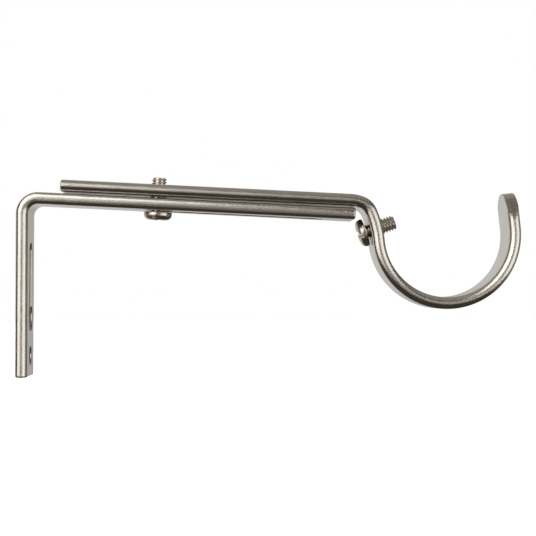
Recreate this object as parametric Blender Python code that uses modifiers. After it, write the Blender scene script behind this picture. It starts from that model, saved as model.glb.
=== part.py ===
"""Adjustable wall bracket for a curtain rod.

Two flat bars with rounded edges slide along each other. The wall bracket is an L: a leg that is
screwed to the wall and an arm with a long slot. The rod arm lies on that arm and is bent down into
an open round cup for the rod. A screw from below clamps the two arms together, and a second screw
goes through the neck of the rod arm into the cup and holds the rod.

Frame: X points out of the wall, Y runs along the rod, Z is up. The origin is on the back face of
the leg, between its two fixing holes. All sizes are in metres.
"""

import math

import bmesh
import bpy
from mathutils import Matrix, Vector

MM = 0.001

# Bar stock: flat bar whose two long edges are fully rounded
BAR_WIDTH = 15.875 * MM
BAR_THICKNESS = 3.175 * MM
BEND_INNER_RADIUS = 2.6 * MM  # at the wall bracket's corner
END_CORNER_RADIUS = 1.3 * MM

# Wall bracket
LEG_HEIGHT = 49.15 * MM  # from the lower end to the top of the arm, at the wall
ORIGIN_HEIGHT = 10.0 * MM  # the frame's origin above the leg's lower end
ARM_REACH = 89.6 * MM  # wall to the end of the slotted arm
ARM_DROOP = math.radians(2.55)  # how far both arms fall away from square

# Fixing holes in the leg, measured up from its lower end
FIXING_HOLE_DIAMETER = 4.6 * MM
LOWER_HOLE_HEIGHT = 5.5 * MM
KEYHOLE_ENTRY_DIAMETER = 7.2 * MM
KEYHOLE_ENTRY_HEIGHT = 15.8 * MM
KEYHOLE_TOP_HEIGHT = 35.5 * MM

# Rod arm
ARM_GAP = 0.43 * MM  # between the two arms
ROD_ARM_START = 11.7 * MM  # wall to the inner end of the rod arm
BEND_BEFORE_ARM_END = 1.4 * MM  # the neck starts to bend this far before the slotted arm ends
LEAD_RADIUS = 10.0 * MM  # centre-line radius of the gentle start of the bend
LEAD_ANGLE = math.radians(17.0)
NECK_INNER_RADIUS = 3.0 * MM
NECK_ANGLE = math.radians(46.4)
THROAT_RADIUS = 25.3 * MM
THROAT_ANGLE = math.radians(18.5)
CUP_INNER_RADIUS = 16.6 * MM
LIP_LEAN = math.radians(6.4)  # the lip leans in from upright
LIP_LENGTH = 9.4 * MM

# Screws, number 8 with pan heads
SCREW_DIAMETER = 4.1 * MM
SCREW_CHAMFER = 0.35 * MM
HEAD_DIAMETER = 7.5 * MM
HEAD_HEIGHT = 2.1 * MM
HEAD_EDGE_RADIUS = 1.5 * MM
DRIVE_SLOT_WIDTH = 1.3 * MM
DRIVE_SLOT_DEPTH = 1.1 * MM
DRIVE_CROSS_WIDTH = 0.8 * MM
DRIVE_CROSS_SPAN = 4.2 * MM
DRIVE_CROSS_DEPTH = 1.8 * MM
TAPPED_CLEARANCE = 0.25 * MM  # around the shank in the hole that it is screwed into
SLOT_CLEARANCE = 0.35 * MM  # around the shank in the slotted arm
HEAD_CLEARANCE = 0.3 * MM  # between the lock screw's head and the slotted arm

LOCK_SCREW_REACH = 37.15 * MM  # wall to the lock screw's axis, on the slotted arm's centre line
LOCK_SCREW_STANDOUT = 2.1 * MM  # past the top of the rod arm
LOCK_SCREW_TURN = math.radians(13)  # of the driving slot, away from the Y axis
SLOT_END_MARGIN = 8.0 * MM  # bar left between the slot and the end of the arm

SET_SCREW_STATION = 4.75 * MM  # along the throat, from the end of the neck's bend
SET_SCREW_RISE = math.radians(19.2)  # its axis climbs towards the cup
SET_SCREW_STANDOUT = 4.15 * MM  # into the cup, at rest
SET_SCREW_BACK_OFF = 0.95 * MM  # between its head and the neck, at rest
SET_SCREW_TURN = math.radians(-12)

# Fineness of the meshes
BEND_STEP = math.radians(6)
EDGE_STEPS = 6
CORNER_STEPS = 6
TIP_STEPS = 24
HOLE_SIDES = 32
TURNED_SIDES = 32
TRIM = 2.0 * MM  # extra bar at each raw end, cut away when the end is shaped
TRIM_SLACK = 0.05 * MM  # the end cutters are this much wider than the bar
WELD = 1e-7

CORNER_RADIUS = BEND_INNER_RADIUS + BAR_THICKNESS / 2
NECK_RADIUS = NECK_INNER_RADIUS + BAR_THICKNESS / 2
CUP_RADIUS = CUP_INNER_RADIUS + BAR_THICKNESS / 2
LEG_BOTTOM = -ORIGIN_HEIGHT
ARM_TOP_AT_WALL = LEG_HEIGHT - ORIGIN_HEIGHT
CUT_DEPTH = 3 * BAR_THICKNESS


def start_scene():
    """Empty the scene and return one collection for the parts and a hidden one for the cutters."""
    for obj in list(bpy.data.objects):
        bpy.data.objects.remove(obj, do_unlink=True)
    parts = bpy.data.collections.new("curtain_rod_bracket")
    cutters = bpy.data.collections.new("cutters")
    for collection in (parts, cutters):
        bpy.context.scene.collection.children.link(collection)
    return parts, cutters


def make_material(name, color, roughness):
    material = bpy.data.materials.new(name)
    material.use_nodes = True
    shader = material.node_tree.nodes["Principled BSDF"]
    shader.inputs["Base Color"].default_value = (*color, 1.0)
    shader.inputs["Roughness"].default_value = roughness
    shader.inputs["Metallic"].default_value = 1.0
    return material


# Centre lines: a station is a point in the XZ plane and the heading there, from +X towards +Z


def ahead(heading, distance=1.0):
    return Vector((math.cos(heading), math.sin(heading))) * distance


def left_of(heading, distance=1.0):
    return Vector((-math.sin(heading), math.cos(heading))) * distance


def follow(point, heading, moves):
    """Stations along straights ("straight", length) and bends ("bend", radius, angle to the left)."""
    stations = [(point, heading)]
    for move in moves:
        if move[0] == "straight":
            point = point + ahead(heading, move[1])
            stations.append((point, heading))
            continue
        radius, angle = move[1], move[2]
        side = math.copysign(radius, angle)
        centre = point + left_of(heading, side)
        steps = math.ceil(abs(angle) / BEND_STEP)
        for step in range(1, steps + 1):
            turned = heading + angle * step / steps
            stations.append((centre - left_of(turned, side), turned))
        point, heading = stations[-1]
    return stations


def arm_point(reach, below_top):
    """A point of the arms, given its distance from the wall and its depth below the slotted arm's top."""
    height = ARM_TOP_AT_WALL - reach * math.tan(ARM_DROOP) - below_top / math.cos(ARM_DROOP)
    return Vector((reach, height))


def wall_bracket_line():
    """Centre line from the leg's lower end, round the corner, to the end of the slotted arm."""
    turn = math.pi / 2 + ARM_DROOP
    corner = arm_point(BAR_THICKNESS / 2, BAR_THICKNESS / 2)
    setback = CORNER_RADIUS * math.tan(turn / 2)
    arm_end = arm_point(ARM_REACH, BAR_THICKNESS / 2)
    start = Vector((BAR_THICKNESS / 2, LEG_BOTTOM))
    return follow(start, math.pi / 2, [
        ("straight", corner.y - setback - LEG_BOTTOM),
        ("bend", CORNER_RADIUS, -turn),
        ("straight", (arm_end - corner).length - setback),
    ])


def rod_arm_moves():
    bend_start = ARM_REACH - BEND_BEFORE_ARM_END
    throat_end = -ARM_DROOP - LEAD_ANGLE - NECK_ANGLE - THROAT_ANGLE
    return [
        ("straight", (bend_start - ROD_ARM_START) / math.cos(ARM_DROOP)),
        ("bend", LEAD_RADIUS, -LEAD_ANGLE),
        ("bend", NECK_RADIUS, -NECK_ANGLE),
        ("bend", THROAT_RADIUS, -THROAT_ANGLE),
        ("bend", CUP_RADIUS, math.pi / 2 + LIP_LEAN - throat_end),
        ("straight", LIP_LENGTH),
    ]


def rod_arm_line():
    """Centre line from the rod arm's inner end, down the neck and round the cup to the lip."""
    start = arm_point(ROD_ARM_START, -ARM_GAP - BAR_THICKNESS / 2)
    return follow(start, -ARM_DROOP, rod_arm_moves())


def set_screw_station():
    """Where the set screw's axis crosses the centre line of the throat."""
    start = arm_point(ROD_ARM_START, -ARM_GAP - BAR_THICKNESS / 2)
    part_way = ("bend", THROAT_RADIUS, -SET_SCREW_STATION / THROAT_RADIUS)
    return follow(start, -ARM_DROOP, rod_arm_moves()[:3] + [part_way])[-1]


def frame_at(point, heading):
    """Matrix whose X runs across the bar, Y along the heading and Z out of the bar's left face."""
    along = ahead(heading)
    face = left_of(heading)
    matrix = Matrix.Identity(4)
    matrix.col[0] = (0, 1, 0, 0)
    matrix.col[1] = (along.x, 0, along.y, 0)
    matrix.col[2] = (face.x, 0, face.y, 0)
    matrix.col[3] = (point.x, 0, point.y, 1)
    return matrix


# Solids


def link_mesh(name, mesh, matrix, collection):
    obj = bpy.data.objects.new(name, mesh)
    obj.matrix_world = matrix
    collection.objects.link(obj)
    return obj


def mesh_from_curve(source, name, matrix, collection):
    """Replace a curve object by a mesh object with its caps welded."""
    bpy.context.view_layer.update()
    evaluated = source.evaluated_get(bpy.context.evaluated_depsgraph_get())
    mesh = bpy.data.meshes.new_from_object(evaluated)
    mesh.name = name
    bm = bmesh.new()
    bm.from_mesh(mesh)
    bmesh.ops.remove_doubles(bm, verts=bm.verts, dist=WELD)
    bmesh.ops.recalc_face_normals(bm, faces=bm.faces)
    bm.to_mesh(mesh)
    bm.free()
    bpy.data.objects.remove(source, do_unlink=True)
    return link_mesh(name, mesh, matrix, collection)


def add_poly_spline(curve, points, closed):
    spline = curve.splines.new("POLY")
    spline.points.add(len(points) - 1)
    for target, point in zip(spline.points, points):
        target.co = (point[0], point[1], 0, 1)
    spline.use_cyclic_u = closed


def arc_points(centre, radius, start, end, steps):
    """Points on an arc in a plane, both ends included."""
    return [
        Vector(centre) + ahead(start + (end - start) * step / steps, radius)
        for step in range(steps + 1)
    ]


def bar_section():
    """Outline of the bar: X is its thickness and Y its width, with half-round edges."""
    radius = BAR_THICKNESS / 2
    middle = BAR_WIDTH / 2 - radius
    curve = bpy.data.curves.new("bar_section", "CURVE")
    curve.dimensions = "2D"
    outline = arc_points((0, middle), radius, 0, math.pi, EDGE_STEPS)
    outline += arc_points((0, -middle), radius, math.pi, 2 * math.pi, EDGE_STEPS)
    add_poly_spline(curve, outline, closed=True)
    return bpy.data.objects.new("bar_section", curve)


def bend_bar(name, stations, section, collection):
    """Sweep the bar's section along a centre line, with extra length at both ends."""
    first, last = stations[0], stations[-1]
    points = [first[0] - ahead(first[1], TRIM)]
    points += [point for point, _ in stations[1:-1]]
    points += [last[0] + ahead(last[1], TRIM)]
    curve = bpy.data.curves.new(name + "_line", "CURVE")
    curve.dimensions = "2D"
    curve.fill_mode = "NONE"
    curve.bevel_mode = "OBJECT"
    curve.bevel_object = section
    curve.use_fill_caps = True
    add_poly_spline(curve, points, closed=False)
    source = bpy.data.objects.new(name + "_line", curve)
    collection.objects.link(source)
    upright = Matrix.Rotation(math.pi / 2, 4, "X")
    return mesh_from_curve(source, name, upright, collection)


def outline_solid(name, outline, thickness, matrix, collection):
    """A flat outline in the local XY plane, given a thickness along local Z."""
    curve = bpy.data.curves.new(name + "_outline", "CURVE")
    curve.dimensions = "2D"
    curve.fill_mode = "BOTH"
    curve.extrude = thickness / 2
    add_poly_spline(curve, outline, closed=True)
    source = bpy.data.objects.new(name + "_outline", curve)
    collection.objects.link(source)
    return mesh_from_curve(source, name, matrix, collection)


def cylinder(name, diameter, length, matrix, collection):
    mesh = bpy.data.meshes.new(name)
    bm = bmesh.new()
    bmesh.ops.create_cone(
        bm, cap_ends=True, segments=HOLE_SIDES, radius1=diameter / 2, radius2=diameter / 2, depth=length
    )
    bm.to_mesh(mesh)
    bm.free()
    return link_mesh(name, mesh, matrix, collection)


def block(name, size, matrix, collection):
    mesh = bpy.data.meshes.new(name)
    bm = bmesh.new()
    bmesh.ops.create_cube(bm, size=1.0, matrix=Matrix.Diagonal((*size, 1.0)))
    bm.to_mesh(mesh)
    bm.free()
    return link_mesh(name, mesh, matrix, collection)


def stadium(length, width):
    """Outline of a slot along local Y, centred on the origin. Its length is between its end centres."""
    upper = arc_points((0, length / 2), width / 2, 0, math.pi, HOLE_SIDES // 2)
    lower = arc_points((0, -length / 2), width / 2, math.pi, 2 * math.pi, HOLE_SIDES // 2)
    return upper + lower


def end_waste(name, point, heading, corner_radius, steps, collection):
    """What is cut from a raw end, beyond point, to leave rounded corners of that radius."""
    half = BAR_WIDTH / 2 + TRIM_SLACK
    outside = half + TRIM
    radius = min(corner_radius, half)
    inset = half - radius
    right = arc_points((inset, -radius), radius, 0, math.pi / 2, steps)
    left = arc_points((-inset, -radius), radius, math.pi / 2, math.pi, steps)
    if inset == 0:
        left = left[1:]
    outline = [(-outside, -radius), (-outside, 2 * TRIM), (outside, 2 * TRIM), (outside, -radius)]
    return outline_solid(name, outline + right + left, CUT_DEPTH, frame_at(point, heading), collection)


def cut(obj, *cutters):
    for cutter in cutters:
        cutter.hide_render = True
        cutter.display_type = "WIRE"
        modifier = obj.modifiers.new("cut_" + cutter.name, "BOOLEAN")
        modifier.operation = "DIFFERENCE"
        modifier.solver = "EXACT"
        modifier.object = cutter


def finish_part(obj, material):
    """Give a part its material, and shade it smooth but for its sharp edges."""
    obj.data.materials.append(material)
    obj.data.shade_smooth()
    obj.data.set_sharp_from_angle(angle=math.radians(35))


def set_origin(obj, matrix):
    """Move an object's origin to matrix and leave its shape where it is."""
    obj.data.transform(matrix.inverted() @ obj.matrix_world)
    obj.matrix_world = matrix


# Parts


def slide_travel():
    """How far the rod arm slides out: the lock screw's way along the slot, between its end centres."""
    slot_end = ARM_REACH - SLOT_END_MARGIN - SCREW_DIAMETER / 2 - SLOT_CLEARANCE
    return (slot_end - LOCK_SCREW_REACH) / math.cos(ARM_DROOP)


def make_wall_bracket(section, material, parts, cutters):
    line = wall_bracket_line()
    bracket = bend_bar("wall_bracket", line, section, parts)
    leg_end, arm_end = line[0], line[-1]
    leg_face = BAR_THICKNESS / 2

    def on_leg(height):
        return frame_at(Vector((leg_face, LEG_BOTTOM + height)), math.pi / 2)

    slot_width = SCREW_DIAMETER + 2 * SLOT_CLEARANCE
    slot_length = slide_travel()
    slot_middle = arm_point(LOCK_SCREW_REACH, BAR_THICKNESS / 2) + ahead(-ARM_DROOP, slot_length / 2)
    keyhole_top = KEYHOLE_TOP_HEIGHT - FIXING_HOLE_DIAMETER / 2
    keyhole_length = keyhole_top - KEYHOLE_ENTRY_HEIGHT
    cut(
        bracket,
        end_waste(
            "leg_end_waste", leg_end[0], leg_end[1] + math.pi, END_CORNER_RADIUS, CORNER_STEPS, cutters
        ),
        end_waste("arm_end_waste", arm_end[0], arm_end[1], END_CORNER_RADIUS, CORNER_STEPS, cutters),
        cylinder("lower_hole", FIXING_HOLE_DIAMETER, CUT_DEPTH, on_leg(LOWER_HOLE_HEIGHT), cutters),
        cylinder("keyhole_entry", KEYHOLE_ENTRY_DIAMETER, CUT_DEPTH, on_leg(KEYHOLE_ENTRY_HEIGHT), cutters),
        outline_solid(
            "keyhole_slot",
            stadium(keyhole_length, FIXING_HOLE_DIAMETER),
            CUT_DEPTH,
            on_leg(KEYHOLE_ENTRY_HEIGHT + keyhole_length / 2),
            cutters,
        ),
        outline_solid(
            "arm_slot",
            stadium(slot_length, slot_width),
            CUT_DEPTH,
            frame_at(slot_middle, -ARM_DROOP),
            cutters,
        ),
    )
    set_origin(bracket, Matrix.Identity(4))
    finish_part(bracket, material)
    return bracket


def lock_screw_frame():
    """Z along the lock screw, towards its tip; the origin is on the slotted arm's centre line."""
    axis_point = arm_point(LOCK_SCREW_REACH, BAR_THICKNESS / 2)
    return frame_at(axis_point, -ARM_DROOP)


def set_screw_frame():
    """Z along the set screw, towards the cup; the origin is on the throat's centre line."""
    point, _ = set_screw_station()
    return frame_at(point, SET_SCREW_RISE - math.pi / 2)


def make_rod_arm(section, material, parts, cutters):
    line = rod_arm_line()
    arm = bend_bar("rod_arm", line, section, parts)
    start, tip = line[0], line[-1]
    tapped = SCREW_DIAMETER + 2 * TAPPED_CLEARANCE
    lock_hole = lock_screw_frame() @ Matrix.Translation((0, 0, BAR_THICKNESS + ARM_GAP))
    cut(
        arm,
        end_waste(
            "inner_end_waste", start[0], start[1] + math.pi, END_CORNER_RADIUS, CORNER_STEPS, cutters
        ),
        end_waste("tip_waste", tip[0], tip[1], BAR_WIDTH, TIP_STEPS, cutters),
        cylinder("lock_screw_hole", tapped, 2 * BAR_THICKNESS, lock_hole, cutters),
        cylinder("set_screw_hole", tapped, CUT_DEPTH, set_screw_frame(), cutters),
    )
    set_origin(arm, lock_hole)
    finish_part(arm, material)
    return arm


def screw_profile(bearing, tip):
    """Half section of a pan-head screw, X outwards and Z along it, from the tip to the head's top."""
    shank = SCREW_DIAMETER / 2
    head = HEAD_DIAMETER / 2
    top = bearing - HEAD_HEIGHT
    profile = [
        (0, tip),
        (shank - SCREW_CHAMFER, tip),
        (shank, tip - SCREW_CHAMFER),
        (shank, bearing),
        (head, bearing),
    ]
    edge_centre = (head - HEAD_EDGE_RADIUS, top + HEAD_EDGE_RADIUS)
    profile += [tuple(p) for p in arc_points(edge_centre, HEAD_EDGE_RADIUS, 0, -math.pi / 2, CORNER_STEPS)]
    profile.append((0, top))
    return profile


def make_screw(name, frame, bearing, tip, turn, material, parts, cutters):
    """A turned screw with its axis on the frame's Z and a combined slot and cross in its head."""
    mesh = bpy.data.meshes.new(name)
    bm = bmesh.new()
    verts = [bm.verts.new((x, 0, z)) for x, z in screw_profile(bearing, tip)]
    for lower, upper in zip(verts, verts[1:]):
        bm.edges.new((lower, upper))
    bm.to_mesh(mesh)
    bm.free()
    placed = frame @ Matrix.Rotation(turn, 4, "Z")
    obj = link_mesh(name, mesh, placed, parts)
    turning = obj.modifiers.new("turn", "SCREW")
    turning.axis = "Z"
    turning.steps = TURNED_SIDES
    turning.render_steps = TURNED_SIDES
    turning.use_merge_vertices = True
    turning.merge_threshold = WELD
    turning.use_normal_calculate = True
    top = bearing - HEAD_HEIGHT

    def recess(part, length, width, depth, quarter_turn):
        at = Matrix.Translation((0, 0, top)) @ Matrix.Rotation(quarter_turn, 4, "Z")
        return block(name + part, (length, width, 2 * depth), placed @ at, cutters)

    cut(
        obj,
        recess("_slot", 1.5 * HEAD_DIAMETER, DRIVE_SLOT_WIDTH, DRIVE_SLOT_DEPTH, 0),
        recess("_cross", DRIVE_CROSS_SPAN, DRIVE_CROSS_WIDTH, DRIVE_CROSS_DEPTH, 0),
        recess("_cross_arm", DRIVE_CROSS_SPAN, DRIVE_CROSS_WIDTH, DRIVE_CROSS_DEPTH, math.pi / 2),
    )
    finish_part(obj, material)
    return obj


def make_lock_screw(material, parts, cutters):
    bearing = -BAR_THICKNESS / 2 - HEAD_CLEARANCE
    tip = 1.5 * BAR_THICKNESS + ARM_GAP + LOCK_SCREW_STANDOUT
    return make_screw(
        "lock_screw", lock_screw_frame(), bearing, tip, LOCK_SCREW_TURN, material, parts, cutters
    )


def make_set_screw(material, parts, cutters):
    _, heading = set_screw_station()
    slant = SET_SCREW_RISE - (heading + math.pi / 2)
    face = BAR_THICKNESS / 2 / math.cos(slant)
    bearing = -face - SET_SCREW_BACK_OFF
    tip = face + SET_SCREW_STANDOUT
    return make_screw(
        "rod_set_screw", set_screw_frame(), bearing, tip, SET_SCREW_TURN, material, parts, cutters
    )


def parent_in_place(child, parent):
    bpy.context.view_layer.update()
    child.parent = parent
    child.matrix_parent_inverse = parent.matrix_world.inverted()


def main():
    parts, cutters = start_scene()
    section = bar_section()
    cutters.objects.link(section)
    nickel = make_material("satin_nickel", (0.66, 0.61, 0.54), 0.28)
    screw_nickel = make_material("screw_nickel", (0.62, 0.58, 0.52), 0.32)
    bracket = make_wall_bracket(section, nickel, parts, cutters)
    arm = make_rod_arm(section, nickel, parts, cutters)
    lock_screw = make_lock_screw(screw_nickel, parts, cutters)
    set_screw = make_set_screw(screw_nickel, parts, cutters)
    bpy.data.objects.remove(section, do_unlink=True)
    parent_in_place(arm, bracket)
    parent_in_place(lock_screw, arm)
    parent_in_place(set_screw, arm)


main()
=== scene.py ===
"""The look of the curtain rod bracket: two bent nickel plated bars, two threaded screws, a plain studio."""

import math

import bmesh
import bpy
from mathutils import Matrix, Vector, noise
from mathutils.kdtree import KDTree


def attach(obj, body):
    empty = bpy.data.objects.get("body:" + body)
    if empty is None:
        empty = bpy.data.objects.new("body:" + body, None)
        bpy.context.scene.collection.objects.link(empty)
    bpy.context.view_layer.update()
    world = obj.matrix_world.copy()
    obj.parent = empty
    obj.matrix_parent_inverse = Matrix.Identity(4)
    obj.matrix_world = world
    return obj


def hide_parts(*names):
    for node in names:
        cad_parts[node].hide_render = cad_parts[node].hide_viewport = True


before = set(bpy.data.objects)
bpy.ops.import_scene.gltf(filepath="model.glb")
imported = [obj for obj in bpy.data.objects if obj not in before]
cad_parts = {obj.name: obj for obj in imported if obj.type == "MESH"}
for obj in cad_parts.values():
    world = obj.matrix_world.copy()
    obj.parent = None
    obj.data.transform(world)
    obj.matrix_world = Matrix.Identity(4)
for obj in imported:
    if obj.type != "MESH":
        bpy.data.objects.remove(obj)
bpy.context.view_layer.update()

# Lengths are in millimetres until a mesh is finished
MM = 0.001
WIDTH = 15.875
THICK = 3.175
CORNER_BEND = 2.6 + THICK / 2
END_FILLET = 0.5
LEG_BOTTOM = -10.0
ARM_TOP = 39.15
ARM_REACH = 89.6
DROOP = math.radians(2.55)
GAP = 0.43  # between the two arms
ROD_ARM_START = 11.7

# The rod arm's bends, in order: radius and turn of its centre line
NECK_START = 88.2
LEAD_BEND = 10.0
LEAD_TURN = math.radians(17.0)
NECK_BEND = 3.0 + THICK / 2
NECK_TURN = math.radians(46.4)
THROAT_BEND = 25.3
THROAT_TURN = math.radians(18.5)
CUP = 16.6 + THICK / 2
LIP_HEADING = math.radians(90 + 6.4)  # past upright, so that the lip leans over the cup
LIP = 9.4

# Holes, their places on the leg measured from its lower end
LOWER_HOLE = 5.5
KEYHOLE_ENTRY = 15.8
KEYHOLE_END = 35.5
FIXING_RADIUS = 4.6 / 2
ENTRY_RADIUS = 7.2 / 2
RIM = 0.22  # how far the edges of holes and of the tip are rounded
FIXING_RIM = 0.45
THROUGH = 5  # half length of a cutter that goes right through a bar
LOCK_REACH = 37.15
SLOT_MARGIN = 8.0

# Screws
SHANK = 4.1
PITCH = 25.4 / 32
THREAD_DEPTH = 0.43
HOLE_FIT = 0.12  # a tapped hole's extra width over the thread's crests
SLOT_FIT = 0.7  # the arm slot's extra width over the shank
HEAD_RADIUS = 7.5 / 2
HEAD_HEIGHT = 2.1
HEAD_EDGE = 1.5
DRIVE_WIDTH, DRIVE_DEPTH = 1.3, 1.1
CROSS_LENGTH, CROSS_WIDTH, CROSS_DEPTH = 4.2, 0.85, 1.8
LOCK_CLEARANCE = 0.3  # under the lock screw's head
LOCK_STANDOUT = 2.1
LOCK_TURN = math.radians(13)
SET_STATION = 4.75
SET_RISE = math.radians(19.2)
SET_BACK_OFF = 0.95
SET_STANDOUT = 4.15
SET_TURN = math.radians(-12)

ROLL_WAVE = 0.012  # height of the waviness left by rolling and bending
BAR_SHARP, SCREW_SHARP = 38, 32  # edges above this many degrees stay sharp


# Centre lines in the XZ plane


def ahead(heading, distance=1.0):
    return Vector((math.cos(heading), math.sin(heading))) * distance


def left_of(heading, distance=1.0):
    return Vector((-math.sin(heading), math.cos(heading))) * distance


def arm_point(reach, below_top):
    return Vector((reach, ARM_TOP - reach * math.tan(DROOP) - below_top / math.cos(DROOP)))


class Line:
    """A run of straights (length,) and bends (radius, angle to the left), measured from its start."""

    def __init__(self, start, heading, moves):
        self.start, self.heading, self.moves = start, heading, moves
        self.length = sum(self.size(m) for m in moves)

    @staticmethod
    def size(move):
        return move[0] if len(move) == 1 else move[0] * abs(move[1])

    def at(self, s):
        point, heading = self.start.copy(), self.heading
        if s <= 0:
            return point + ahead(heading, s), heading
        for move in self.moves:
            here = min(s, self.size(move))
            if len(move) == 1:
                point = point + ahead(heading, here)
            else:
                side = math.copysign(move[0], move[1])
                centre = point + left_of(heading, side)
                heading += here / side
                point = centre - left_of(heading, side)
            s -= here
            if s <= 0:
                break
        return point + ahead(heading, max(s, 0)), heading

    def stations(self, straight_step, bend_step):
        out, s = [], 0.0
        for move in self.moves:
            size = self.size(move)
            step = straight_step if len(move) == 1 else min(straight_step, move[0] * bend_step)
            count = max(1, math.ceil(size / step))
            out += [s + size * i / count for i in range(count)]
            s += size
        return out


def wall_line():
    turn = math.pi / 2 + DROOP
    corner = arm_point(THICK / 2, THICK / 2)
    setback = CORNER_BEND * math.tan(turn / 2)
    arm_end = arm_point(ARM_REACH, THICK / 2)
    start = Vector((THICK / 2, LEG_BOTTOM))
    return Line(start, math.pi / 2, [
        (corner.y - setback - LEG_BOTTOM,),
        (CORNER_BEND, -turn),
        ((arm_end - corner).length - setback,),
    ])


def rod_line():
    start = arm_point(ROD_ARM_START, -GAP - THICK / 2)
    straight = (NECK_START - ROD_ARM_START) / math.cos(DROOP)
    return Line(start, -DROOP, [
        (straight,),
        (LEAD_BEND, -LEAD_TURN),
        (NECK_BEND, -NECK_TURN),
        (THROAT_BEND, -THROAT_TURN),
        (CUP, LIP_HEADING + DROOP + LEAD_TURN + NECK_TURN + THROAT_TURN),
        (LIP,),
    ])


WALL = wall_line()
ROD = rod_line()


# Meshes


def new_mesh(name, verts, faces):
    mesh = bpy.data.meshes.new(name)
    mesh.from_pydata([tuple(v) for v in verts], [], faces)
    bm = bmesh.new()
    bm.from_mesh(mesh)
    bmesh.ops.recalc_face_normals(bm, faces=bm.faces)
    bm.to_mesh(mesh)
    bm.free()
    obj = bpy.data.objects.new(name, mesh)
    bpy.context.scene.collection.objects.link(obj)
    return obj


def stack(name, rings):
    """A closed solid through rings of points, each with the same number of points."""
    n = len(rings[0])
    verts = [p for ring in rings for p in ring]
    faces = [tuple(range(n)), tuple(range(len(verts) - n, len(verts)))]
    for k in range(len(rings) - 1):
        for i in range(n):
            j = (i + 1) % n
            faces.append((k * n + i, k * n + j, (k + 1) * n + j, (k + 1) * n + i))
    return new_mesh(name, verts, faces)


def boolean(obj, steps):
    """Apply Booleans, one after another, and remove the other objects."""
    for kind, other in steps:
        modifier = obj.modifiers.new(kind, "BOOLEAN")
        modifier.operation = kind
        modifier.solver = "EXACT"
        modifier.object = other
    bpy.context.view_layer.update()
    mesh = bpy.data.meshes.new_from_object(obj.evaluated_get(bpy.context.evaluated_depsgraph_get()))
    obj.modifiers.clear()
    obj.data = mesh
    for _, other in steps:
        bpy.data.objects.remove(other, do_unlink=True)
    return obj


def bar_section(inset, roundness):
    """Outline of the bar across its width (w) and thickness (t). Its edges are half-round where
    roundness is 1, and flatter in their middle where it is less."""
    radius, middle = THICK / 2 - inset, WIDTH / 2 - THICK / 2
    edge_steps, flat_steps = 24, 8
    points = []
    for side in (1, -1):
        for i in range(edge_steps + 1):
            a = math.pi * i / edge_steps - math.pi / 2
            out = abs(math.cos(a)) ** roundness
            up = math.copysign(abs(math.sin(a)) ** roundness, math.sin(a))
            points.append((side * (middle + radius * out), side * radius * up))
        for i in range(1, flat_steps):
            points.append((side * middle * (1 - 2 * i / flat_steps), side * radius))
    return points


def flared(name, outline, depth, rim=RIM):
    """A cutter through a flat of half thickness THICK / 2. outline is (point, outward normal) pairs
    in the bar's plane; the outline spreads near both faces, so the edges it leaves are rounded."""
    half = []
    for i in range(6):
        a = math.radians(16 * i)
        half.append((THICK / 2 - rim + rim * math.sin(a), rim * (1 - math.cos(a))))
    last = half[-1]
    half.append((last[0] + 0.08, last[1] + 0.3 * rim))
    half.append((depth, last[1] + 0.3 * rim))
    levels = [(-t, off) for t, off in reversed(half)] + half
    rings = [[(p[0] + n[0] * off, p[1] + n[1] * off, t) for p, n in outline] for t, off in levels]
    return stack(name, rings)


def arc(centre, radius, start, end, steps, inward=False):
    """(point, outward normal) pairs on an arc; inward is for an outline that lies outside the arc."""
    out = []
    for i in range(steps + 1):
        d = ahead(start + (end - start) * i / steps)
        out.append((Vector(centre) + d * radius, -d if inward else d))
    return out


def round_hole(s, radius, sides=72):
    return arc((0, s), radius, 0, 2 * math.pi, sides)[:-1]


def slot_outline(s0, s1, radius, sides=36):
    return arc((0, s1), radius, 0, math.pi, sides) + arc((0, s0), radius, math.pi, 2 * math.pi, sides)


def tip_outline(s):
    """Everything beyond a half-round tip that ends at s."""
    half = WIDTH / 2 + 0.05
    still = Vector((0, 0))
    far = [(-half - 3, s - half), (-half - 3, s + 5), (half + 3, s + 5), (half + 3, s - half)]
    return [(Vector(p), still) for p in far] + arc((0, s - half), half, 0, math.pi, 80, inward=True)


def bend_onto(obj, line):
    """Carry a flat bar (across, along, up) onto its centre line."""
    for v in obj.data.vertices:
        w, s, t = v.co
        point, heading = line.at(s)
        place = point + left_of(heading, t)
        v.co = (place.x, w, place.y)


def measure_run(obj, line):
    """Store how far along, across and up the bar each point is, in millimetres, for the materials."""
    count = 1200
    stations = [line.length * i / count for i in range(count + 1)]
    points = [line.at(s) for s in stations]
    attribute = obj.data.attributes.new("run", "FLOAT_VECTOR", "POINT")
    tree = KDTree(count + 1)
    for i, (p, _) in enumerate(points):
        tree.insert((p.x, 0, p.y), i)
    tree.balance()
    for v, value in zip(obj.data.vertices, attribute.data):
        _, i, _ = tree.find((v.co.x, 0, v.co.z))
        p, heading = points[i]
        offset = Vector((v.co.x, v.co.z)) - p
        value.vector = (
            stations[i] + offset.dot(ahead(heading)),
            v.co.y,
            offset.dot(left_of(heading)),
        )


def roll_marks(obj, amount):
    """Slight waviness left by rolling and bending, along each point's normal."""
    normals = [v.normal.copy() for v in obj.data.vertices]
    for v, n in zip(obj.data.vertices, normals):
        broad = noise.noise(v.co * 0.32)
        fine = noise.noise(v.co * 1.1 + Vector((7, 3, 1)))
        v.co += n * amount * (broad + 0.35 * fine)


def finish_mesh(obj):
    bm = bmesh.new()
    bm.from_mesh(obj.data)
    bmesh.ops.remove_doubles(bm, verts=bm.verts, dist=1e-5)
    bmesh.ops.recalc_face_normals(bm, faces=bm.faces)
    bm.to_mesh(obj.data)
    bm.free()


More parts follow.
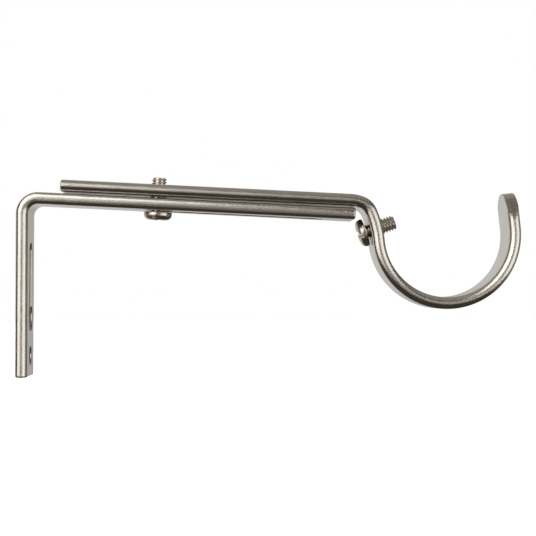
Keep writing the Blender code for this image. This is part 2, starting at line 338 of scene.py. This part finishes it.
def shade(obj, material, sharp):
    obj.data.transform(Matrix.Scale(MM, 4))
    obj.data.materials.clear()
    obj.data.materials.append(material)
    obj.data.shade_smooth()
    obj.data.set_sharp_from_angle(angle=math.radians(sharp))
    weighted = obj.modifiers.new("weighted", "WEIGHTED_NORMAL")
    weighted.mode = "FACE_AREA_WITH_ANGLE"
    weighted.weight = 60
    weighted.keep_sharp = True
    obj.data.update()


def flat_bar(name, line, roundness, raw_tip=False):
    """The bar before it is bent, with filleted ends, or with spare length for a tip to be cut from.
    roundness gives the shape of its edges at each station."""
    fillet = []
    for i in range(9):
        a = math.pi / 2 * i / 8
        fillet.append((END_FILLET * (1 - math.sin(a)), END_FILLET * (1 - math.cos(a))))
    end = line.length + 2.0 if raw_tip else line.length
    clear = 1.2 * END_FILLET
    between = [s for s in line.stations(0.9, math.radians(2.5)) if clear < s < end - clear]
    rings = [(s, inset) for s, inset in reversed(fillet)] + [(s, 0.0) for s in between]
    rings += [(end, 0.0)] if raw_tip else [(end - s, inset) for s, inset in fillet]
    return stack(name, [[(w, s, t) for w, t in bar_section(inset, roundness(s))] for s, inset in rings])


# The two bars


def make_wall_bar():
    leg = WALL.moves[0][0]
    arm_start = leg + WALL.size(WALL.moves[1])

    def roundness(s):
        return 1 - 0.28 * min(max((s - leg) / (arm_start - leg), 0), 1)

    bar = flat_bar("wall_bar", WALL, roundness)
    arm_origin, _ = WALL.at(arm_start)
    lock = arm_start + (arm_point(LOCK_REACH, THICK / 2) - arm_origin).dot(ahead(-DROOP))
    slot_width = SHANK + SLOT_FIT
    travel = (ARM_REACH - SLOT_MARGIN - slot_width / 2 - LOCK_REACH) / math.cos(DROOP)
    keyhole = slot_outline(KEYHOLE_ENTRY, KEYHOLE_END - FIXING_RADIUS, FIXING_RADIUS)
    keyhole_depth = THROUGH + 0.01  # so that the two cutters' end faces don't lie in one plane
    arm_slot = slot_outline(lock, lock + travel, slot_width / 2)
    boolean(bar, [
        ("DIFFERENCE", flared("lower_hole", round_hole(LOWER_HOLE, FIXING_RADIUS), THROUGH, FIXING_RIM)),
        ("DIFFERENCE", flared("keyhole_entry", round_hole(KEYHOLE_ENTRY, ENTRY_RADIUS), THROUGH, FIXING_RIM)),
        ("DIFFERENCE", flared("keyhole_slot", keyhole, keyhole_depth, FIXING_RIM)),
        ("DIFFERENCE", flared("arm_slot", arm_slot, THROUGH)),
    ])
    bend_onto(bar, WALL)
    finish_mesh(bar)
    return bar


def mark_sheared(bar):
    """Mark the points on both sides of the tip's cut face, which are rougher and darker than the rest."""
    half = WIDTH / 2
    attribute = bar.data.attributes.new("sheared", "FLOAT", "POINT")
    for v, mark in zip(bar.data.vertices, attribute.data):
        beyond = v.co.y - (ROD.length - half)
        on_cut = beyond > 0.4 and math.hypot(v.co.x, beyond) > half - 0.02
        mark.value = 1.0 if on_cut and abs(v.co.x) > 0.6 * half else 0.0


def make_rod_bar():
    bar = flat_bar("rod_bar", ROD, lambda s: 1.0, raw_tip=True)
    lock = (arm_point(LOCK_REACH, 0) - ROD.start).dot(ahead(-DROOP))
    tapped = (SHANK + HOLE_FIT) / 2
    boolean(bar, [
        ("DIFFERENCE", flared("tip_end", tip_outline(ROD.length), THROUGH)),
        ("DIFFERENCE", flared("lock_hole", round_hole(lock, tapped), THROUGH)),
    ])
    mark_sheared(bar)
    bend_onto(bar, ROD)
    finish_mesh(bar)
    hole = flared("set_hole", [((p[0], p[1]), n) for p, n in round_hole(0, tapped)], 4, 0.3)
    hole.matrix_world = set_frame()
    boolean(bar, [("DIFFERENCE", hole)])
    finish_mesh(bar)
    return bar


# Screws


def upright(point, heading, turn):
    """Right-handed matrix with Z out of the bar's left face and X along the screw's driving slot."""
    z = Vector((-math.sin(heading), 0, math.cos(heading)))
    along = Vector((math.cos(heading), 0, math.sin(heading)))
    x = Vector((0, 1, 0)) * math.cos(turn) + along * math.sin(turn)
    y = z.cross(x)
    matrix = Matrix.Identity(4)
    for i, column in enumerate((x, y, z)):
        matrix.col[i] = (*column, 0)
    matrix.col[3] = (point.x, 0, point.y, 1)
    return matrix


def set_station():
    return ROD.at(sum(ROD.size(m) for m in ROD.moves[:3]) + SET_STATION)


def set_frame():
    point, _ = set_station()
    return upright(point, SET_RISE - math.pi / 2, SET_TURN)


def lock_frame():
    return upright(arm_point(LOCK_REACH, THICK / 2), -DROOP, LOCK_TURN)


def turned(name, profile, sides=96):
    """A solid of revolution about Z. The profile's first and last points lie on the axis."""
    verts = [(0, 0, profile[0][1])]
    faces = []
    inner = profile[1:-1]
    for r, z in inner:
        for i in range(sides):
            a = 2 * math.pi * i / sides
            verts.append((r * math.cos(a), r * math.sin(a), z))
    verts.append((0, 0, profile[-1][1]))
    last = len(verts) - 1
    for i in range(sides):
        j = (i + 1) % sides
        faces.append((0, 1 + j, 1 + i))
        for k in range(len(inner) - 1):
            a, b = 1 + k * sides, 1 + (k + 1) * sides
            faces.append((a + i, a + j, b + j, b + i))
        top = 1 + (len(inner) - 1) * sides
        faces.append((top + i, top + j, last))
    return new_mesh(name, verts, faces)


def thread(name, low, high, sides=72):
    """A helical rod, longer than needed at both ends, with crests and roots slightly rounded."""
    crest, root = SHANK / 2, SHANK / 2 - THREAD_DEPTH
    shape = [
        (0.0, crest), (0.11, crest), (0.135, crest - 0.015), (0.2, crest - 0.11), (0.32, root + 0.14),
        (0.415, root + 0.035), (0.47, root), (0.655, root), (0.71, root + 0.035), (0.805, root + 0.14),
        (0.925, crest - 0.11), (0.985, crest - 0.015),
    ]
    k = len(shape)
    rows = k * (math.ceil((high - low) / PITCH) + 2)
    verts = []
    for i in range(sides):
        a = 2 * math.pi * i / sides
        for j in range(rows):
            f, r = shape[j % k]
            rise = PITCH * (j // k + f + i / sides)
            verts.append((r * math.cos(a), r * math.sin(a), low - PITCH + rise))
    faces = []
    for i in range(sides - 1):
        for j in range(rows - 1):
            a, b = i * rows + j, (i + 1) * rows + j
            faces.append((a, b, b + 1, a + 1))
    for j in range(rows - 1 - k):
        a, b = (sides - 1) * rows + j, j + k
        faces.append((a, b, b + 1, a + 1))
    bottom = [i * rows for i in range(sides)] + list(range(k, 0, -1))
    top = [i * rows + rows - 1 for i in range(sides)]
    top += [(sides - 1) * rows + j for j in range(rows - 2, rows - 2 - k, -1)]
    for loop, z in ((bottom, low - PITCH), (top, high + 2 * PITCH)):
        centre = len(verts)
        verts.append((0, 0, sum(verts[i][2] for i in loop) / len(loop)))
        faces += [(loop[i], loop[(i + 1) % len(loop)], centre) for i in range(len(loop))]
    return new_mesh(name, verts, faces)


def tapered(name, length, width, depth, top, turn):
    """One bar of a cross recess: it narrows towards its floor. top is the head's outer face."""
    rings = []
    for z, k in ((top - 0.3, 1.06), (top, 1.0), (top + depth, 0.42)):
        x, y = length / 2 * k, width / 2 * (0.75 + 0.25 * k)
        corners = ((-x, -y), (x, -y), (x, y), (-x, y))
        rings.append([Matrix.Rotation(turn, 3, "Z") @ Vector((px, py, z)) for px, py in corners])
    return stack(name, rings)


def drive_slot(name, width, depth, top):
    """The straight driving slot, across the whole head, its edges slightly rounded."""
    half = width / 2
    section = [
        (half + 0.4, -1.2), (half + 0.16, -0.02), (half + 0.05, 0.06), (half, 0.2),
        (half - 0.02, depth - 0.12), (half - 0.12, depth),
    ]
    outline = section + [(-y, z) for y, z in reversed(section)]
    return stack(name, [[(x, y, top + z) for y, z in outline] for x in (-6, 6)])


def make_screw(name, bearing, tip):
    """A screw along +Z: its head's bearing face is at bearing and its end at tip."""
    head, edge, shank_radius = HEAD_RADIUS, HEAD_EDGE, SHANK / 2
    top = bearing - HEAD_HEIGHT
    shank = turned("shank", [
        (0, top + 1.9), (shank_radius - 0.2, top + 1.9),
        (shank_radius - 0.2, bearing + 0.35), (shank_radius + 0.1, bearing + 0.75),
        (shank_radius + 0.1, tip - 0.45), (shank_radius - 0.48, tip - 0.02),
        (shank_radius - 0.55, tip), (0, tip),
    ])
    screw = thread(name, top + 1.5, tip + 0.5)
    profile = [(0, top), (head - edge - 0.6, top), (head - edge, top + 0.03)]
    for i in range(1, 11):
        a = math.pi / 2 * i / 10
        profile.append((head - edge + edge * math.sin(a), top + 0.03 + edge * (1 - math.cos(a))))
    profile += [(head, bearing - 0.14), (head - 0.04, bearing - 0.04), (head - 0.14, bearing), (0, bearing)]
    boolean(screw, [("INTERSECT", shank)])
    cross = (CROSS_LENGTH, CROSS_WIDTH, CROSS_DEPTH)
    boolean(screw, [
        ("UNION", turned("head", profile)),
        ("DIFFERENCE", drive_slot("slot", DRIVE_WIDTH, DRIVE_DEPTH, top)),
        ("DIFFERENCE", tapered("cross", *cross, top, 0)),
        ("DIFFERENCE", tapered("cross_arm", *cross, top, math.pi / 2)),
    ])
    finish_mesh(screw)
    return screw


def make_lock_screw():
    tip = 1.5 * THICK + GAP + LOCK_STANDOUT
    screw = make_screw("lock_screw_threaded", -THICK / 2 - LOCK_CLEARANCE, tip)
    screw.data.transform(lock_frame())
    return screw


def make_set_screw():
    _, heading = set_station()
    face = THICK / 2 / math.cos(SET_RISE - (heading + math.pi / 2))
    screw = make_screw("set_screw_threaded", -face - SET_BACK_OFF, face + SET_STANDOUT)
    screw.data.transform(set_frame())
    return screw


# Materials


def node(tree, kind, **values):
    made = tree.nodes.new(kind)
    for key, value in values.items():
        setattr(made, key, value)
    return made


def math_node(tree, operation, a, b=None, clamp=False):
    made = node(tree, "ShaderNodeMath", operation=operation, use_clamp=clamp)
    for i, value in enumerate((a, b)):
        if value is None:
            continue
        if isinstance(value, (int, float)):
            made.inputs[i].default_value = value
        else:
            tree.links.new(value, made.inputs[i])
    return made.outputs[0]


def ranged(tree, value, low, high, to_low, to_high, smooth=False):
    made = node(tree, "ShaderNodeMapRange", interpolation_type="SMOOTHSTEP" if smooth else "LINEAR")
    tree.links.new(value, made.inputs["Value"])
    for key, number in (("From Min", low), ("From Max", high), ("To Min", to_low), ("To Max", to_high)):
        made.inputs[key].default_value = number
    return made.outputs["Result"]


def noise_node(tree, vector, scale, detail, roughness=0.5):
    made = node(tree, "ShaderNodeTexNoise")
    made.inputs["Scale"].default_value = scale
    made.inputs["Detail"].default_value = detail
    made.inputs["Roughness"].default_value = roughness
    tree.links.new(vector, made.inputs["Vector"])
    return made.outputs["Fac"]


def scaled(tree, vector, x, y, z):
    made = node(tree, "ShaderNodeVectorMath", operation="MULTIPLY")
    made.inputs[1].default_value = (x, y, z)
    tree.links.new(vector, made.inputs[0])
    return made.outputs["Vector"]


def bump(tree, height, strength, distance, below=None):
    made = node(tree, "ShaderNodeBump")
    made.inputs["Strength"].default_value = strength
    made.inputs["Distance"].default_value = distance
    tree.links.new(height, made.inputs["Height"])
    if below is not None:
        tree.links.new(below, made.inputs["Normal"])
    return made.outputs["Normal"]


def mix_colour(tree, factor, first, second):
    made = node(tree, "ShaderNodeMix", data_type="RGBA")
    tree.links.new(factor, made.inputs["Factor"])
    for key, value in (("A", first), ("B", second)):
        socket = next(s for s in made.inputs if s.name == key and s.type == "RGBA")
        if isinstance(value, tuple):
            socket.default_value = (*value, 1)
        else:
            tree.links.new(value, socket)
    return next(s for s in made.outputs if s.type == "RGBA")


def new_material(name):
    material = bpy.data.materials.new(name)
    material.use_nodes = True
    tree = material.node_tree
    shader = tree.nodes["Principled BSDF"]
    shader.inputs["Metallic"].default_value = 1.0
    return material, tree, shader


def bar_nickel():
    """Nickel plate: drawn lines along the flats, fine pits and a worn strip on the rolled edges, faint
    warm patches, and a rougher, darker sheared face at the tip."""
    material, tree, shader = new_material("satin_nickel")
    run = node(tree, "ShaderNodeAttribute", attribute_name="run").outputs["Vector"]
    across = node(tree, "ShaderNodeSeparateXYZ")
    tree.links.new(run, across.inputs[0])
    edge = ranged(tree, math_node(tree, "ABSOLUTE", across.outputs["Y"]), 5.6, 6.7, 0, 1, True)
    middle = ranged(tree, math_node(tree, "ABSOLUTE", across.outputs["Z"]), 0.12, 0.6, 1, 0, True)
    strip = math_node(tree, "MULTIPLY", edge, middle)
    sheared = node(tree, "ShaderNodeAttribute", attribute_name="sheared").outputs["Fac"]
    patches = noise_node(tree, run, 0.16, 3)
    lines = noise_node(tree, scaled(tree, run, 0.05, 4.5, 4.5), 1.0, 4, 0.6)
    hair = noise_node(tree, scaled(tree, run, 0.22, 14.0, 14.0), 1.0, 3, 0.6)
    pits = noise_node(tree, run, 2.3, 4, 0.62)
    grains = noise_node(tree, run, 5.5, 2, 0.5)
    warmth = ranged(tree, patches, 0.35, 0.68, 0, 1)
    colour = mix_colour(tree, warmth, (0.69, 0.66, 0.615), (0.65, 0.605, 0.545))
    dull = math_node(tree, "MULTIPLY", ranged(tree, pits, 0.3, 0.42, 1, 0), 0.4)
    dull = math_node(tree, "ADD", dull, math_node(tree, "MULTIPLY", strip, 0.35))
    dull = math_node(tree, "ADD", dull, math_node(tree, "MULTIPLY", sheared, 0.8), clamp=True)
    colour = mix_colour(tree, dull, colour, (0.40, 0.365, 0.32))
    tree.links.new(colour, shader.inputs["Base Color"])
    worn = math_node(tree, "ADD", strip, sheared, clamp=True)
    rough = ranged(tree, lines, 0.3, 0.7, 0.15, 0.24)
    rough = math_node(tree, "ADD", rough, ranged(tree, grains, 0.3, 0.7, -0.03, 0.04))
    rough = math_node(tree, "ADD", rough, math_node(tree, "MULTIPLY", worn, 0.1))
    tree.links.new(rough, shader.inputs["Roughness"])
    flat = math_node(tree, "SUBTRACT", 1.0, edge)
    drawn = math_node(tree, "MULTIPLY", math_node(tree, "ADD", lines, hair), flat)
    first = bump(tree, drawn, 0.25, 0.000012)
    pitted = math_node(tree, "ADD", pits, math_node(tree, "MULTIPLY", grains, 0.45))
    depth = math_node(tree, "ADD", math_node(tree, "MULTIPLY", edge, 0.5), 0.15)
    depth = math_node(tree, "ADD", depth, worn)
    pitted = math_node(tree, "MULTIPLY", pitted, depth)
    tree.links.new(bump(tree, pitted, 0.8, 0.00006, first), shader.inputs["Normal"])
    return material


def screw_nickel():
    """Brighter plate with fine turning marks and slightly darker, warmer patches at random."""
    material, tree, shader = new_material("screw_nickel")
    place = node(tree, "ShaderNodeTexCoord").outputs["Object"]
    grains = noise_node(tree, place, 2600, 3)
    patches = noise_node(tree, place, 420, 2)
    warmth = ranged(tree, patches, 0.35, 0.7, 0, 1)
    colour = mix_colour(tree, warmth, (0.69, 0.64, 0.57), (0.60, 0.54, 0.46))
    tree.links.new(colour, shader.inputs["Base Color"])
    tree.links.new(ranged(tree, grains, 0.3, 0.7, 0.2, 0.32), shader.inputs["Roughness"])
    tree.links.new(bump(tree, grains, 0.5, 0.00002), shader.inputs["Normal"])
    return material


# The studio


LOBES = [
    ((-0.45, 1, 0.1), 56, 16, 0.62),  # white paper behind
    ((0, 0.05, 1), 65, 25, 0.26),  # ceiling and upper walls
    ((1, 0.1, 0), 45, 10, 0.25),  # pale wall to the right
    ((0.25, -1, -0.2), 30, 5, 0.26),  # pale table and wall behind the camera
]
CENTRE = Vector((0.062, 0, 0.02))
AMBIENT = 0.05
FLOOR_HEIGHT, FLOOR_HALF = -0.066, 3
DOME_RADIUS = 3.2


def lobe(tree, direction, towards, wide, narrow, strength):
    """A soft patch of light in the surroundings, centred on a direction, between two half angles."""
    made = node(tree, "ShaderNodeVectorMath", operation="DOT_PRODUCT")
    made.inputs[1].default_value = Vector(towards).normalized()
    tree.links.new(direction, made.inputs[0])
    outer, inner = math.cos(math.radians(wide)), math.cos(math.radians(narrow))
    return ranged(tree, made.outputs["Value"], outer, inner, 0, strength, True)


def surroundings():
    world = bpy.data.worlds.new("studio")
    bpy.context.scene.world = world
    world.use_nodes = True
    tree = world.node_tree
    background = tree.nodes["Background"]
    direction = node(tree, "ShaderNodeTexCoord").outputs["Generated"]
    total = None
    for towards, wide, narrow, strength in LOBES:
        patch = lobe(tree, direction, towards, wide, narrow, strength)
        total = patch if total is None else math_node(tree, "ADD", total, patch)
    total = math_node(tree, "ADD", total, AMBIENT)
    tree.links.new(total, background.inputs["Strength"])
    lit = ranged(tree, total, AMBIENT, 0.4, 0, 1)
    tint = mix_colour(tree, lit, (1.0, 0.86, 0.72), (1.0, 0.985, 0.96))
    tree.links.new(tint, background.inputs["Color"])


def softbox(name, azimuth, elevation, distance, width, height, radiance, shape="RECTANGLE"):
    """An area light that faces the bracket. Azimuth 0 is towards the camera and 90 towards +X."""
    a, e = math.radians(azimuth), math.radians(elevation)
    out = Vector((math.sin(a) * math.cos(e), -math.cos(a) * math.cos(e), math.sin(e)))
    light = bpy.data.lights.new(name, "AREA")
    light.shape = shape
    light.size, light.size_y = width, height
    area = width * height * (math.pi / 4 if shape == "ELLIPSE" else 1)
    light.energy = radiance * math.pi * area
    light.color = (1.0, 0.99, 0.97)
    obj = bpy.data.objects.new(name, light)
    bpy.context.scene.collection.objects.link(obj)
    obj.location = CENTRE + out * distance
    obj.rotation_mode = "QUATERNION"
    obj.rotation_quaternion = out.to_track_quat("Z", "Y")
    obj.visible_camera = False


def floor_light():
    """Brightens the paper, and is not seen in the metal."""
    sun = bpy.data.lights.new("floor_light", "SUN")
    sun.energy = 3.4
    sun.angle = math.radians(35)
    lamp = bpy.data.objects.new("floor_light", sun)
    bpy.context.scene.collection.objects.link(lamp)
    lamp.rotation_mode = "QUATERNION"
    lamp.rotation_quaternion = Vector((0.1, 0.35, 1)).to_track_quat("Z", "Y")
    lamp.visible_glossy = False


def floor_sheet():
    half = FLOOR_HALF
    corners = ((-half, -half), (half, -half), (half, half), (-half, half))
    floor = new_mesh("floor", [(x, y, FLOOR_HEIGHT) for x, y in corners], [(0, 1, 2, 3)])
    material, _, shader = new_material("floor_paper")
    shader.inputs["Metallic"].default_value = 0.0
    shader.inputs["Base Color"].default_value = (0.93, 0.93, 0.93, 1)
    shader.inputs["Roughness"].default_value = 0.9
    shader.inputs["Emission Color"].default_value = (1, 1, 1, 1)
    shader.inputs["Emission Strength"].default_value = 0.25
    floor.data.materials.append(material)
    floor.visible_glossy = False


def backdrop():
    place = (0.06, 0, 0)
    bpy.ops.mesh.primitive_uv_sphere_add(segments=48, ring_count=24, radius=DOME_RADIUS, location=place)
    dome = bpy.context.object
    dome.name = "backdrop"
    material = bpy.data.materials.new("backdrop_paper")
    material.use_nodes = True
    tree = material.node_tree
    tree.nodes.clear()
    glow = node(tree, "ShaderNodeEmission")
    glow.inputs["Color"].default_value = (1, 1, 1, 1)
    glow.inputs["Strength"].default_value = 1.0
    out = node(tree, "ShaderNodeOutputMaterial")
    tree.links.new(glow.outputs[0], out.inputs["Surface"])
    dome.data.materials.append(material)
    dome.visible_glossy = False
    dome.visible_diffuse = False
    dome.visible_shadow = False


def studio():
    surroundings()
    softbox("key", -36, 28, 0.45, 0.54, 0.38, 1.8, "ELLIPSE")
    softbox("left", -46, -1, 0.50, 0.50, 0.32, 1.35)
    softbox("right", 52, 1, 0.50, 0.48, 0.48, 1.25)
    floor_light()
    floor_sheet()
    backdrop()


def camera():
    data = bpy.data.cameras.new("camera")
    data.lens = 100
    data.sensor_width = 36
    data.clip_start, data.clip_end = 0.01, 20
    obj = bpy.data.objects.new("camera", data)
    bpy.context.scene.collection.objects.link(obj)
    obj.location = (0.0559, -0.3999, 0.0142)
    turn = Matrix.Rotation(math.radians(-1.54), 4, "Z") @ Matrix.Rotation(math.radians(90.71), 4, "X")
    turn = turn @ Matrix.Rotation(math.radians(0.18), 4, "Z")
    obj.rotation_mode = "QUATERNION"
    obj.rotation_quaternion = turn.to_quaternion()
    bpy.context.scene.camera = obj


# Everything together


bars = bar_nickel()
screws = screw_nickel()

wall_bar = make_wall_bar()
roll_marks(wall_bar, ROLL_WAVE)
measure_run(wall_bar, WALL)
shade(wall_bar, bars, BAR_SHARP)
rod_bar = make_rod_bar()
roll_marks(rod_bar, ROLL_WAVE)
measure_run(rod_bar, ROD)
shade(rod_bar, bars, BAR_SHARP)
lock_screw = make_lock_screw()
shade(lock_screw, screws, SCREW_SHARP)
set_screw = make_set_screw()
shade(set_screw, screws, SCREW_SHARP)

for piece, cad_node, body, slot in (
    (wall_bar, "wall_bracket", "wall_bracket", "satin_nickel"),
    (rod_bar, "rod_arm", "rod_arm", "satin_nickel"),
    (lock_screw, "lock_screw", "lock_screw", "screw_nickel"),
    (set_screw, "rod_set_screw", "rod_set_screw", "screw_nickel"),
):
    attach(piece, body)
    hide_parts(cad_node)

camera()
studio()
bpy.context.scene.view_settings.view_transform = "Standard"
